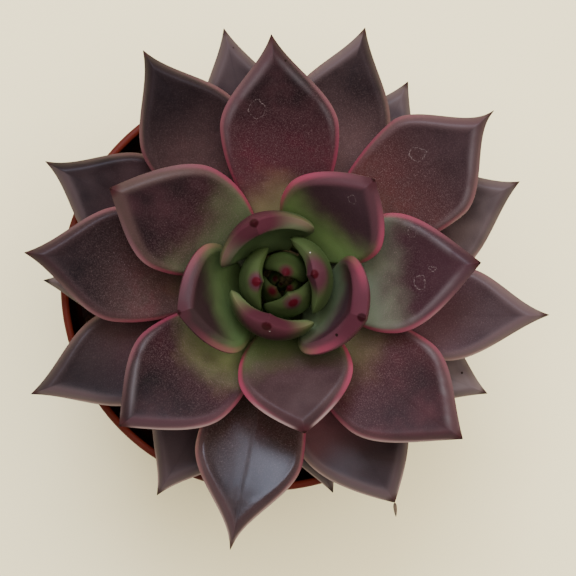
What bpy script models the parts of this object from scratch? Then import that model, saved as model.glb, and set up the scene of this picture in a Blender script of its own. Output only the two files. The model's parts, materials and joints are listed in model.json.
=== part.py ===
"""A potted echeveria: a rosette of fleshy leaves on a short stem, in a terracotta-coloured plastic pot.

Every leaf is a solid of its own, set on the stem along the plant's spiral. Sizes are in
millimetres and angles in degrees until a mesh is made, and the meshes are in metres.
The origin is the middle of the pot's flat base, and +Z is up.
"""

import bisect
import math
from dataclasses import dataclass

import bmesh
import bpy

MM = 0.001

# Clearance that touching pieces keep from each other
GAP = 0.3

# The pot, a thin moulded one with a collar under its lip
POT_HEIGHT = 80.0
POT_TOP_RADIUS = 52.5
POT_BASE_RADIUS = 37.0
POT_WALL = 1.2
POT_SEGMENTS = 48
SHOULDER_HEIGHT = 64.0
SHOULDER_RADIUS = 48.2
COLLAR_STEP = 1.6
LIP_WIDTH = 2.0
LIP_DEPTH = 1.5

# The pot's floor, raised in a ring of drain holes
FLOOR_THICKNESS = 1.4
CHANNEL_INNER_RADIUS = 21.0
CHANNEL_OUTER_RADIUS = 31.0
CHANNEL_RISE = 1.6
CHANNEL_SLOPE = 1.0
DRAIN_HOLES = 8
DRAIN_RADIUS = 3.2
DRAIN_SIDES = 12

# The potting mix, which fills the pot to a little under its rim
SOIL_LEVEL = 70.0
SOIL_SWELL = 1.2
SOIL_LUMP = 0.35
SOIL_SURFACE_RINGS = 4

# The plant stands a little off the pot's middle
PLANT_X = 4.2
PLANT_Y = 0.8

# The stem: a buried root stock and a stout trunk that ends in a dome among the inner leaves
STEM_SEGMENTS = 18
ROOT_BOTTOM = 46.0
ROOT_RADIUS = 3.0
ROOT_TOP = 60.0
TRUNK_RADIUS = 8.2
DOME_DROP = 0.5

# The spiral: each leaf further in is turned by the golden angle
SPIRAL_STEP = 137.4
FIRST_AZIMUTH = 272.9
LOWEST_SEAT = 78.0

# Leaves from the lowest to the innermost: azimuth of the tip, length, greatest width, the share
# of the length where that is, and the tip's fullness from flared (0) to round (1)
LEAVES = (
    (283.5, 46.3, 18.0, 0.60, 0.45), (58.0, 51.3, 22.0, 0.60, 0.45), (179.5, 51.8, 18.0, 0.60, 0.45),
    (331.5, 50.2, 22.0, 0.60, 0.45), (103.0, 56.9, 22.0, 0.60, 0.40), (239.5, 53.5, 25.0, 0.60, 0.35),
    (23.0, 56.0, 26.0, 0.60, 0.35), (153.0, 58.0, 27.0, 0.60, 0.25), (297.0, 53.3, 28.0, 0.60, 0.85),
    (72.0, 58.2, 26.0, 0.60, 0.40), (204.0, 60.0, 24.0, 0.60, 0.40), (353.0, 58.5, 23.5, 0.60, 0.35),
    (121.0, 59.0, 26.5, 0.60, 0.30), (259.0, 59.7, 26.5, 0.60, 0.15), (39.0, 60.0, 28.5, 0.65, 0.05),
    (173.5, 57.3, 28.0, 0.60, 0.35), (319.0, 52.9, 29.0, 0.60, 0.60), (92.5, 55.7, 28.5, 0.60, 0.35),
    (221.5, 49.6, 28.0, 0.60, 0.70), (5.5, 46.3, 29.0, 0.54, 0.70), (151.5, 46.9, 28.0, 0.60, 0.75),
    (278.5, 38.3, 28.0, 0.60, 0.85), (48.0, 36.8, 27.5, 0.60, 0.80), (196.5, 31.6, 28.5, 0.60, 0.80),
    (336.0, 33.0, 28.0, 0.60, 0.80), (115.5, 31.0, 27.0, 0.60, 0.81), (251.0, 28.5, 25.0, 0.60, 0.81),
    (13.0, 26.5, 22.5, 0.60, 0.82), (180.5, 23.4, 18.0, 0.60, 0.82), (298.0, 21.2, 16.2, 0.60, 0.82),
    (68.0, 19.0, 13.5, 0.60, 0.83), (223.5, 15.3, 9.0, 0.60, 0.83), (319.5, 12.6, 7.0, 0.60, 0.84),
    (159.0, 9.6, 5.2, 0.60, 0.84), (241.0, 7.4, 2.9, 0.60, 0.85),
)

# How the leaves change along the spiral, as (leaf, value) pairs, where leaf 0 is the lowest
THICKNESSES = (
    (0, 4.6), (12, 5.0), (20, 4.8), (24, 4.6), (26, 3.9), (28, 3.15), (30, 2.7), (32, 2.1), (34, 1.1),
)
BASE_RISES = (
    (0, 9), (6, 13), (10, 18), (13, 26), (15, 33), (17, 41), (18, 47), (20, 56), (22, 62), (24, 60),
    (26, 57), (28, 56), (30, 60), (34, 70),
)
TIP_RISES = (
    (0, 7), (10, 9), (17, 12), (20, 19), (21, 32), (22, 40), (23, 56), (24, 76), (25, 95), (26, 113),
    (28, 127), (30, 138), (31, 130), (32, 126), (34, 122),
)
SEAT_RADII = ((0, 8.5), (22, 8.5), (24, 8.0), (26, 7.0), (28, 5.2), (30, 3.8), (32, 2.4), (34, 0.7))
SEAT_HEIGHTS = ((0, 0.0), (22, 18.2), (28, 22.8), (32, 25.6), (34, 27.0))
CUPS = ((0, 0.45), (14, 0.5), (20, 0.65), (24, 0.95), (26, 1.0), (34, 1.0))
SEAT_WIDTHS = ((0, 0.30), (20, 0.29), (26, 0.33), (30, 0.46), (34, 0.6))
BUD_SHARES = ((0, 0.0), (20, 0.0), (25, 1.0), (34, 1.0))

# How a leaf changes along its length, as (share of the length, value) pairs: its thickness
# when open and in the bud, the share of it above the margin, and the width of the bevelled rim
OPEN_FLESH = ((0, 0.55), (0.15, 0.7), (0.45, 1.0), (0.8, 0.9), (0.97, 0.7), (1.0, 0.6))
BUD_FLESH = ((0, 0.5), (0.25, 0.6), (0.6, 0.97), (0.85, 1.4), (1.0, 1.45))
TOP_SHARES = ((0, 0.30), (0.4, 0.36), (0.75, 0.6), (1.0, 0.66))
BEVEL_WIDTHS = ((0, 1.2), (0.3, 1.6), (0.6, 2.6), (0.8, 3.4), (1.0, 3.6))

# The shape that all leaves share
FLARE = 1.35
BEVEL_LIMIT = 0.36
BEVEL_CURVE = 1.7
BELLY = 2.2
BELLY_REACH = 0.95
TIP_REACH = 0.3
LEAF_STATIONS = 11
LAST_STATION = 0.965
LEAF_ACROSS = 6

TERRACOTTA = (0.262, 0.060, 0.029)
POTTING_MIX = (0.013, 0.007, 0.006)
STEM_GREEN = (0.105, 0.085, 0.042)
LEAF_PURPLE = (0.058, 0.026, 0.030)


def clear_scene():
    """Remove whatever the open file holds."""
    for thing in list(bpy.data.objects):
        bpy.data.objects.remove(thing, do_unlink=True)


def make_material(name, colour, roughness):
    """A plain material with a colour and a roughness."""
    material = bpy.data.materials.new(name)
    material.use_nodes = True
    material.diffuse_color = (*colour, 1.0)
    shader = material.node_tree.nodes["Principled BSDF"]
    shader.inputs["Base Color"].default_value = (*colour, 1.0)
    shader.inputs["Roughness"].default_value = roughness
    shader.inputs["Metallic"].default_value = 0.0
    return material


def read_off(pairs, place):
    """The value at place on the line through (place, value) pairs."""
    places = [pair[0] for pair in pairs]
    index = min(max(bisect.bisect_right(places, place) - 1, 0), len(pairs) - 2)
    (start, low), (end, high) = pairs[index], pairs[index + 1]
    return low + (high - low) * (place - start) / (end - start)


def circle(centre, radius, height, segments):
    """The points of a level circle, where height is a number or a function of the angle."""
    points = []
    for step in range(segments):
        angle = math.tau * step / segments
        level = height(angle) if callable(height) else height
        points.append((centre[0] + radius * math.cos(angle), centre[1] + radius * math.sin(angle), level))
    return points


def ring_solid(name, rings, material):
    """A closed solid through rings of points in order, where a ring of one point closes an end."""
    mesh = bmesh.new()
    loops = []
    for ring in rings:
        loops.append([mesh.verts.new([value * MM for value in point]) for point in ring])
    for lower, upper in zip(loops, loops[1:]):
        count = max(len(lower), len(upper))
        for step in range(count):
            after = (step + 1) % count
            corners = [lower[step % len(lower)], lower[after % len(lower)]]
            corners += [upper[after % len(upper)], upper[step % len(upper)]]
            mesh.faces.new(list(dict.fromkeys(corners)))
    bmesh.ops.recalc_face_normals(mesh, faces=mesh.faces)
    bmesh.ops.triangulate(mesh, faces=mesh.faces, quad_method="FIXED")
    data = bpy.data.meshes.new(name)
    mesh.to_mesh(data)
    mesh.free()
    data.shade_smooth()
    data.materials.append(material)
    solid = bpy.data.objects.new(name, data)
    bpy.context.collection.objects.link(solid)
    return solid


def floor_profile(lift, wall_radius, inset):
    """The pot's floor from its middle out to wall_radius, as (radius, height), lift above the outside."""
    inner = CHANNEL_INNER_RADIUS - inset
    outer = CHANNEL_OUTER_RADIUS + inset
    return [
        (0.0, lift),
        (inner, lift),
        (inner + CHANNEL_SLOPE, CHANNEL_RISE + lift),
        (outer - CHANNEL_SLOPE, CHANNEL_RISE + lift),
        (outer, lift),
        (wall_radius, lift),
    ]


def inner_wall():
    """The pot's inside wall from its floor up to the lip, as (radius, height)."""
    shoulder = SHOULDER_RADIUS - POT_WALL
    return [
        (POT_BASE_RADIUS - POT_WALL + 0.4, FLOOR_THICKNESS),
        (shoulder, SHOULDER_HEIGHT),
        (shoulder + COLLAR_STEP, SHOULDER_HEIGHT + COLLAR_STEP),
        (POT_TOP_RADIUS - LIP_WIDTH, POT_HEIGHT - 0.5),
    ]


def inside_radius(height):
    """The radius of the pot's inside wall at a height."""
    return read_off([(level, radius) for radius, level in inner_wall()], height)


def pot_profile():
    """The whole section of the pot, from the middle of its floor inside to the middle underneath."""
    inside = floor_profile(FLOOR_THICKNESS, inner_wall()[0][0], CHANNEL_SLOPE * 0.5)[:-1] + inner_wall()
    lip_inner = POT_TOP_RADIUS - LIP_WIDTH
    lip = [
        (lip_inner + 0.5, POT_HEIGHT),
        (POT_TOP_RADIUS - 0.5, POT_HEIGHT),
        (POT_TOP_RADIUS, POT_HEIGHT - 0.5),
        (POT_TOP_RADIUS, POT_HEIGHT - LIP_DEPTH),
        (lip_inner + POT_WALL, POT_HEIGHT - LIP_DEPTH - 0.3),
    ]
    outside = [
        (SHOULDER_RADIUS + COLLAR_STEP, SHOULDER_HEIGHT + COLLAR_STEP * 0.6),
        (SHOULDER_RADIUS, SHOULDER_HEIGHT - COLLAR_STEP * 0.4),
        (POT_BASE_RADIUS, 1.0),
        (POT_BASE_RADIUS - 0.6, 0.0),
    ]
    underside = floor_profile(0.0, POT_BASE_RADIUS - 0.6, 0.0)[:-1]
    return inside + lip + outside + underside[::-1]


def make_pot(material):
    """The turned pot with its drain holes cut."""
    rings = []
    for radius, height in pot_profile():
        if radius == 0.0:
            rings.append([(0.0, 0.0, height)])
        else:
            rings.append(circle((0.0, 0.0), radius, height, POT_SEGMENTS))
    pot = ring_solid("pot", rings, material)
    middle = (CHANNEL_INNER_RADIUS + CHANNEL_OUTER_RADIUS) / 2
    cutters = bmesh.new()
    for hole in range(DRAIN_HOLES):
        angle = math.tau * (hole + 0.5) / DRAIN_HOLES
        made = bmesh.ops.create_cone(
            cutters, cap_ends=True, segments=DRAIN_SIDES,
            radius1=DRAIN_RADIUS * MM, radius2=DRAIN_RADIUS * MM, depth=8 * MM)
        shift = (middle * math.cos(angle) * MM, middle * math.sin(angle) * MM, CHANNEL_RISE * MM)
        bmesh.ops.translate(cutters, verts=made["verts"], vec=shift)
    data = bpy.data.meshes.new("drain_hole_cutter")
    cutters.to_mesh(data)
    cutters.free()
    cutter = bpy.data.objects.new("drain_hole_cutter", data)
    bpy.context.collection.objects.link(cutter)
    cutter.hide_render = True
    cutter.display_type = "WIRE"
    holes = pot.modifiers.new("drain holes", "BOOLEAN")
    holes.operation = "DIFFERENCE"
    holes.solver = "EXACT"
    holes.object = cutter
    return pot


def soil_height(share, angle):
    """The height of the potting mix at a share of the way out from the stem to the pot's wall."""
    lump = math.sin(3 * angle + 5 * share) + 0.7 * math.sin(7 * angle - 9 * share)
    return SOIL_LEVEL + SOIL_SWELL * (1 - share) ** 2 + SOIL_LUMP * lump * math.sin(math.pi * share)


def make_soil(material):
    """The potting mix: a plug that fits the pot, with a plain hole for the root stock and stem."""
    plant = (PLANT_X, PLANT_Y)
    hole = TRUNK_RADIUS + GAP
    bottom = ROOT_BOTTOM - GAP
    rings = [
        [(*plant, bottom)],
        circle(plant, ROOT_RADIUS + GAP, bottom, POT_SEGMENTS),
        circle(plant, hole, ROOT_TOP - GAP, POT_SEGMENTS),
    ]
    for step in range(SOIL_SURFACE_RINGS + 1):
        share = step / SOIL_SURFACE_RINGS
        centre = (PLANT_X * (1 - share), PLANT_Y * (1 - share))
        radius = hole + (inside_radius(SOIL_LEVEL) - GAP - hole) * share
        rings.append(circle(centre, radius, lambda angle: soil_height(share, angle), POT_SEGMENTS))
    wall = inner_wall()
    for radius, height in (wall[2], wall[1]):
        rings.append(circle((0.0, 0.0), radius - GAP, height, POT_SEGMENTS))
    floor = floor_profile(FLOOR_THICKNESS + GAP, wall[0][0] - GAP, CHANNEL_SLOPE * 0.5 + GAP)
    for radius, height in floor[:0:-1]:
        rings.append(circle((0.0, 0.0), radius, height, POT_SEGMENTS))
    rings.append([(0.0, 0.0, floor[0][1])])
    return ring_solid("soil", rings, material)


def make_stem(material):
    """The root stock and trunk, with a dome whose radius follows the seats of the inner leaves."""
    plant = (PLANT_X, PLANT_Y)
    profile = [(ROOT_RADIUS, ROOT_BOTTOM), (TRUNK_RADIUS, ROOT_TOP)]
    slim = SEAT_RADII[0][1] - TRUNK_RADIUS
    for leaf, seat_radius in SEAT_RADII[1:]:
        height = LOWEST_SEAT + read_off(SEAT_HEIGHTS, leaf) - DOME_DROP
        profile.append((seat_radius - slim, height))
    rings = [[(*plant, ROOT_BOTTOM)]]
    for radius, height in profile:
        rings.append(circle(plant, radius, height, STEM_SEGMENTS))
    rings.append([(*plant, profile[-1][1])])
    return ring_solid("stem", rings, material)


@dataclass
class Leaf:
    """One leaf's sizes, where number 0 is the lowest leaf."""

    number: int
    tip_azimuth: float
    length: float
    width: float
    widest_at: float
    fullness: float

    def __post_init__(self):
        self.azimuth = math.radians(FIRST_AZIMUTH + SPIRAL_STEP * self.number)
        turn = math.radians(self.tip_azimuth) - self.azimuth
        self.swing = (turn + math.pi) % math.tau - math.pi
        self.thickness = read_off(THICKNESSES, self.number)
        self.base_rise = math.radians(read_off(BASE_RISES, self.number))
        self.bend = math.radians(read_off(TIP_RISES, self.number)) - self.base_rise
        self.seat_radius = read_off(SEAT_RADII, self.number) + GAP
        self.seat_height = LOWEST_SEAT + read_off(SEAT_HEIGHTS, self.number)
        self.cup = read_off(CUPS, self.number)
        self.seat_width = read_off(SEAT_WIDTHS, self.number)

    def half_width(self, along):
        """Half the leaf's width at a share of its length: it widens from the seat and ends in a point."""
        if along < self.widest_at:
            rise = math.sin(math.pi / 2 * along / self.widest_at) ** FLARE
            share = self.seat_width + (1 - self.seat_width) * rise
        else:
            past = (along - self.widest_at) / (1 - self.widest_at)
            round_end = 1 - past ** 2
            flared_end = (1 + math.cos(math.pi * past)) / 2
            share = self.fullness * round_end + (1 - self.fullness) * flared_end
        return self.width / 2 * share

    def midrib(self, along):
        """Distance from the plant's axis, height and rise of the arched midrib."""
        rise = self.base_rise + self.bend * along
        scale = self.length / self.bend
        distance = self.seat_radius + scale * (math.sin(rise) - math.sin(self.base_rise))
        height = self.seat_height + scale * (math.cos(self.base_rise) - math.cos(rise))
        return distance, height, rise

    def flesh(self, along):
        """Greatest thickness across the leaf at a share of its length."""
        in_bud = read_off(BUD_SHARES, self.number)
        share = (1 - in_bud) * read_off(OPEN_FLESH, along) + in_bud * read_off(BUD_FLESH, along)
        return self.thickness * share

    def thickening(self, along, from_edge, upper):
        """How far the skin stands from the leaf's middle sheet, where the lower face is below it."""
        top_share = read_off(TOP_SHARES, along)
        if upper:
            bevel = min(read_off(BEVEL_WIDTHS, along), BEVEL_LIMIT * self.width)
            lift = 1 - (1 - min(1.0, from_edge / bevel)) ** BEVEL_CURVE
            return self.flesh(along) * top_share * lift
        reach = self.half_width(along)
        if along > 0.5:
            reach = max(reach, TIP_REACH * self.width)
        drop = 1 - (1 - min(1.0, from_edge / (BELLY_REACH * reach))) ** BELLY
        return -self.flesh(along) * (1 - top_share) * math.sqrt(max(0.0, drop))

    def point(self, along, across, upper):
        """A point on the skin: across runs from -1 to 1 between the edges, upper picks the face."""
        half = self.half_width(along)
        step = 0.001
        before, after = max(along - step, 0.0), min(along + step, 1.0)
        slope = (self.half_width(after) - self.half_width(before)) / ((after - before) * self.length)
        from_edge = half * (1 - abs(across)) / math.hypot(1.0, slope)
        raised = self.thickening(along, from_edge, upper)
        distance, height, rise = self.midrib(along)
        curl = self.cup / distance
        turn = curl * across * half
        sideways = math.sin(turn) / curl - raised * math.sin(turn)
        inwards = (1 - math.cos(turn)) / curl + raised * math.cos(turn)
        outwards = distance - math.sin(rise) * inwards
        azimuth = self.azimuth + self.swing * along
        x = PLANT_X + outwards * math.cos(azimuth) - sideways * math.sin(azimuth)
        y = PLANT_Y + outwards * math.sin(azimuth) + sideways * math.cos(azimuth)
        return x, y, height + math.cos(rise) * inwards

    def against_stem(self, point):
        """The point moved level until it lies against the stem."""
        x, y, z = point
        share = self.seat_radius / math.hypot(x - PLANT_X, y - PLANT_Y)
        return PLANT_X + (x - PLANT_X) * share, PLANT_Y + (y - PLANT_Y) * share, z

    def rings(self):
        """The leaf's cross-sections from its seat to its tip, closed by a point at each end."""
        sides = [math.sin(math.pi * (step / LEAF_ACROSS - 0.5)) for step in range(LEAF_ACROSS + 1)]
        places = [step / LEAF_STATIONS for step in range(LEAF_STATIONS)] + [LAST_STATION]
        sections = []
        for along in places:
            upper = [self.point(along, across, True) for across in sides]
            lower = [self.point(along, across, False) for across in sides[-2:0:-1]]
            sections.append(upper + lower)
        sections[0] = [self.against_stem(point) for point in sections[0]]
        distance, height, _rise = self.midrib(0.0)
        seat = (
            PLANT_X + distance * math.cos(self.azimuth),
            PLANT_Y + distance * math.sin(self.azimuth),
            height - self.flesh(0.0) * (0.5 - TOP_SHARES[0][1]) * math.cos(self.base_rise),
        )
        return [[seat]] + sections + [[self.point(1.0, 0.0, True)]]


def make_leaves(material):
    """All the leaves, named from the lowest to the innermost."""
    for number, sizes in enumerate(LEAVES):
        leaf = Leaf(number, *sizes)
        ring_solid(f"leaf_{number + 1:02d}", leaf.rings(), material)


def main():
    clear_scene()
    make_pot(make_material("terracotta_plastic", TERRACOTTA, 0.5))
    make_soil(make_material("potting_mix", POTTING_MIX, 0.95))
    make_stem(make_material("stem_skin", STEM_GREEN, 0.6))
    make_leaves(make_material("leaf_skin", LEAF_PURPLE, 0.45))


main()
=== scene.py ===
"""The looks of a potted echeveria: fine leaves, pot, potting mix and stem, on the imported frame.

Sizes are in millimetres and angles in degrees until a mesh is made. The plant's numbers are the
ones that its solids have, so each fine piece lies where its solid does.
"""

from __future__ import annotations

import json
import logging
import math
from abc import ABC, abstractmethod
from dataclasses import dataclass, field
from enum import Enum
from functools import partial
from typing import Any, Callable, Sequence

import bpy
import numpy as np
from mathutils import Matrix, Vector, noise

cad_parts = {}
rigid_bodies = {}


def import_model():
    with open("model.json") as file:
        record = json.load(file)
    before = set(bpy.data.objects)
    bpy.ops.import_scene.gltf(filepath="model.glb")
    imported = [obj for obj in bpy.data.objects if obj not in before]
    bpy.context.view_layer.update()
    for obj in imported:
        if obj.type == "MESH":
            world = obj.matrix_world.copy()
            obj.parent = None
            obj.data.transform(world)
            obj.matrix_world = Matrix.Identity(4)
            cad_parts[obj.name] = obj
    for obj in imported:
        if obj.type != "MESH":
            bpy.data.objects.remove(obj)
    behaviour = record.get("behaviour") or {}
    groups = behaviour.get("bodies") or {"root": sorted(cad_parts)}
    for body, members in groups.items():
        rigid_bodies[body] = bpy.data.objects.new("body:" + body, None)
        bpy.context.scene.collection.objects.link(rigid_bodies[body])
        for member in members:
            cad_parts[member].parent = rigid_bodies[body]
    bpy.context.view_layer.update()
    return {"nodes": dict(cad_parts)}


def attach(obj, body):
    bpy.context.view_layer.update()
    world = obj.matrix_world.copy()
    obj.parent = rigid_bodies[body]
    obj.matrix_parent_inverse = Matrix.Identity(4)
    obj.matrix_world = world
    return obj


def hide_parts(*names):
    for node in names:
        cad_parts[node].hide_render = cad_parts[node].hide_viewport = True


LOG = logging.getLogger("echeveria")
MM = 0.001
STEM_PLACE = (4.2, 0.8)
YOUNGEST_LEAF = 34

# The kinds of node that the finishes use most, and the setting that a kind's mode belongs to.
PLUS, MINUS, TIMES = "Math.ADD", "Math.SUBTRACT", "Math.MULTIPLY"
SMOOTH, MIX = "MapRange.SMOOTHSTEP", "Mix.RGBA"
MODES = {
    "Math": "operation", "VectorMath": "operation", "MapRange": "interpolation_type",
    "Mix": "data_type", "TexVoronoi": "feature"}

Array = np.ndarray
Piece = bpy.types.Object
NodeAdder = Callable[..., Any]
Pairs = Sequence[tuple[float, float]]
Stops = Sequence[tuple[float, str]]
Marks = Sequence[tuple[float, float, float, float, float]]


class Slot(str, Enum):
    """The record's material slots named for the new pieces; dress does not use them."""

    LEAF = "leaf_skin"
    POT = "terracotta_plastic"
    SOIL = "potting_mix"


def linear(hex_code: str) -> tuple[float, float, float, float]:
    """Turn an sRGB hex colour into a linear one.

    Args:
        hex_code: the colour as "#rrggbb".

    Returns:
        Linear red, green, blue and an alpha of 1.
    """
    values = []
    for start in (1, 3, 5):
        value = int(hex_code[start:start + 2], 16) / 255
        values.append(value / 12.92 if value <= 0.04045 else ((value + 0.055) / 1.055) ** 2.4)
    return values[0], values[1], values[2], 1.0


def feed(socket: bpy.types.NodeSocket, source: Any) -> None:
    """Link an output socket to an input, or set the input to a hex colour or a plain value.

    Args:
        socket: the input.
        source: the output socket, hex colour or plain value.
    """
    if isinstance(source, bpy.types.NodeSocket):
        socket.id_data.links.new(source, socket)
    else:
        socket.default_value = linear(source) if isinstance(source, str) else source


def add_node(tree: bpy.types.NodeTree, kind: str, *sources: Any, **settings: Any) -> Any:
    """Add a node with its settings and links.

    Args:
        tree: the node tree that gets the node.
        kind: the node's type, and after a dot its mode where it has one.
        *sources: what its enabled inputs take in turn, as feed says.
        **settings: what its inputs take by name, its own settings, and a ramp's stops.

    Returns:
        The node's first enabled output.
    """
    kind, _dot, mode = kind.partition(".")
    node = tree.nodes.new(f"ShaderNode{kind}")
    if mode:
        setattr(node, MODES[kind], mode)
    stops = settings.pop("stops", ())
    for place, _tone in stops[1:-1]:
        node.color_ramp.elements.new(place)
    for index, (place, tone) in enumerate(stops):
        node.color_ramp.elements[index].position = place
        node.color_ramp.elements[index].color = linear(tone)
    for socket, source in zip([each for each in node.inputs if each.enabled], sources):
        feed(socket, source)
    for name, value in settings.items():
        if name in node.inputs:
            feed(node.inputs[name], value)
        else:
            setattr(node, name, value)
    return next(each for each in node.outputs if each.enabled)


def only(piece: Piece) -> None:
    """Make one object the selected and active one.

    Args:
        piece: the object.
    """
    for thing in bpy.context.view_layer.objects:
        thing.select_set(thing == piece)
    bpy.context.view_layer.objects.active = piece


def name_piece(name: str) -> Piece:
    """Name the active object and its mesh.

    Args:
        name: the name for both.

    Returns:
        The active object.
    """
    piece = bpy.context.object
    piece.name = piece.data.name = name
    return piece


def close_up(piece: Piece) -> None:
    """Merge a mesh's doubles, close its open ends, turn its faces outwards and smooth them.

    Args:
        piece: the mesh's object.
    """
    only(piece)
    bpy.ops.object.mode_set(mode="EDIT")
    bpy.ops.mesh.select_all(action="SELECT")
    bpy.ops.mesh.remove_doubles(threshold=0.0005 * MM)
    bpy.ops.mesh.select_all(action="DESELECT")
    bpy.ops.mesh.select_non_manifold()
    bpy.ops.mesh.fill_holes(sides=0)
    bpy.ops.mesh.select_all(action="SELECT")
    bpy.ops.mesh.normals_make_consistent(inside=False)
    bpy.ops.object.mode_set(mode="OBJECT")
    bpy.ops.object.shade_smooth()


def draw_up(name: str, stations: Pairs, segments: int) -> Piece:
    """Draw one ring of edges from station to station and close both ends.

    Args:
        name: the piece's name.
        stations: the ring's radius and height at each stop.
        segments: how many edges the ring has.

    Returns:
        The closed piece.
    """
    radius, height = stations[0]
    bpy.ops.mesh.primitive_circle_add(vertices=segments, radius=radius * MM, location=(0, 0, height * MM))
    piece = name_piece(name)
    bpy.ops.object.transform_apply(location=True, rotation=True, scale=True)
    bpy.ops.object.mode_set(mode="EDIT")
    bpy.ops.mesh.select_all(action="SELECT")
    for next_radius, next_height in stations[1:]:
        move = {"value": (0.0, 0.0, (next_height - height) * MM)}
        bpy.ops.mesh.extrude_region_move(TRANSFORM_OT_translate=move)
        share = next_radius / radius
        bpy.ops.transform.resize(
            value=(share, share, 1.0), center_override=(0.0, 0.0, next_height * MM))
        radius, height = next_radius, next_height
    bpy.ops.object.mode_set(mode="OBJECT")
    close_up(piece)
    return piece


def vertex_places(piece: Piece) -> Array:
    """Read where a piece's vertices lie.

    Args:
        piece: the piece.

    Returns:
        One row of x, y and z for each vertex.
    """
    rows = np.empty((len(piece.data.vertices), 3))
    piece.data.vertices.foreach_get("co", rows.ravel())
    return rows


def dress(piece: Piece, material: bpy.types.Material, slot: Slot, *nodes: str) -> None:
    """Give a piece its material and body, and hide the frame's nodes that it replaces.

    Args:
        piece: the finished piece.
        material: its material.
        slot: the record's slot that its finish belongs to; not used.
        *nodes: the frame's nodes that it replaces.
    """
    piece.data.materials.clear()
    piece.data.materials.append(material)
    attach(piece, "root")
    if nodes:
        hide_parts(*nodes)
    LOG.info("%s: %d faces", piece.name, len(piece.data.polygons))


def read_off(pairs: Pairs, place: Any) -> Any:
    """The value at place on the line through (place, value) pairs, for a number or an array."""
    return np.interp(place, [pair[0] for pair in pairs], [pair[1] for pair in pairs])


def ease(low: float, high: float, value: Array) -> Array:
    """A smooth step from 0 at low to 1 at high, which may run downwards."""
    share = np.clip((value - low) / (high - low), 0.0, 1.0)
    return share * share * (3 - 2 * share)


@dataclass(frozen=True)
class Finish(ABC):
    """A finish: its material's name, the shader's plain values, and the nodes that it paints."""

    name: str = "finish"
    roughness: float = 0.5
    specular: float = 0.5
    ior: float = 1.5

    def material(self) -> bpy.types.Material:
        """Build the finish's material.

        Returns:
            The material, with its shader fed.
        """
        material = bpy.data.materials.new(self.name)
        material.use_nodes = True
        tree = material.node_tree
        inputs = {"Roughness": self.roughness, "Specular IOR Level": self.specular, "IOR": self.ior}
        inputs.update(self.paint(partial(add_node, tree)))
        for name, source in inputs.items():
            feed(tree.nodes["Principled BSDF"].inputs[name], source)
        return material

    @abstractmethod
    def paint(self, node: NodeAdder) -> dict[str, Any]:
        """Add the finish's nodes.

        Args:
            node: adds a node to the material, as add_node does.

        Returns:
            What the shader's inputs take, by name.
        """


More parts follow.
